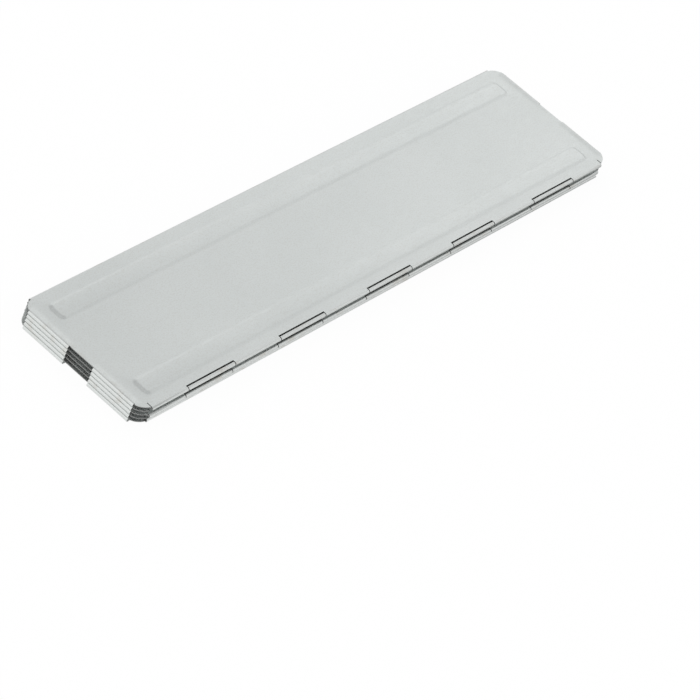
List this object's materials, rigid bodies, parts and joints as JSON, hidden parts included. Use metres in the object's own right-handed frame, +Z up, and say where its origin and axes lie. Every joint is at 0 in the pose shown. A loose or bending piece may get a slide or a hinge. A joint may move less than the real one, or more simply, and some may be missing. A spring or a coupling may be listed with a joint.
{
  "type": "folding stove windscreen",
  "caption": "Accordion-folding aluminium windscreen for a camp stove: ribbed panels with rolled hems, joined by pinned knuckle hinges and folded flat.",
  "frame": {"origin": "under the middle of the folded stack, on the surface that it lies on", "axes": "+X along the hinges, +Z up out of the top panel, -Y towards the hinge that joins the top panel to the second one"},
  "size_m": [0.345, 0.0794, 0.0117],
  "materials": {
    "panel_aluminium": "satin mill finish",
    "pin_steel": "drawn steel wire"
  },
  "bodies": {
    "bottom": {"bottom_panel": "panel_aluminium"},
    "fourth": {"fourth_panel": "panel_aluminium", "fourth_hinge_pin": "pin_steel"},
    "third": {"third_panel": "panel_aluminium", "third_hinge_pin": "pin_steel"},
    "second": {"second_panel": "panel_aluminium", "second_hinge_pin": "pin_steel"},
    "top": {"top_panel": "panel_aluminium", "first_hinge_pin": "pin_steel"}
  },
  "joints": [
    {"name": "fourth_hinge", "type": "hinge", "parent": "bottom", "child": "fourth", "pos_m": [0, 0.03875, 0.00335], "axis": [-1, 0, 0], "range_deg": [0, 155]},
    {"name": "third_hinge", "type": "hinge", "parent": "fourth", "child": "third", "pos_m": [0, -0.03875, 0.00565], "axis": [1, 0, 0], "range_deg": [0, 155]},
    {"name": "second_hinge", "type": "hinge", "parent": "third", "child": "second", "pos_m": [0, 0.03875, 0.00795], "axis": [-1, 0, 0], "range_deg": [0, 155]},
    {"name": "first_hinge", "type": "hinge", "parent": "second", "child": "top", "pos_m": [0, -0.03875, 0.01025], "axis": [1, 0, 0], "range_deg": [0, 155]}
  ]
}
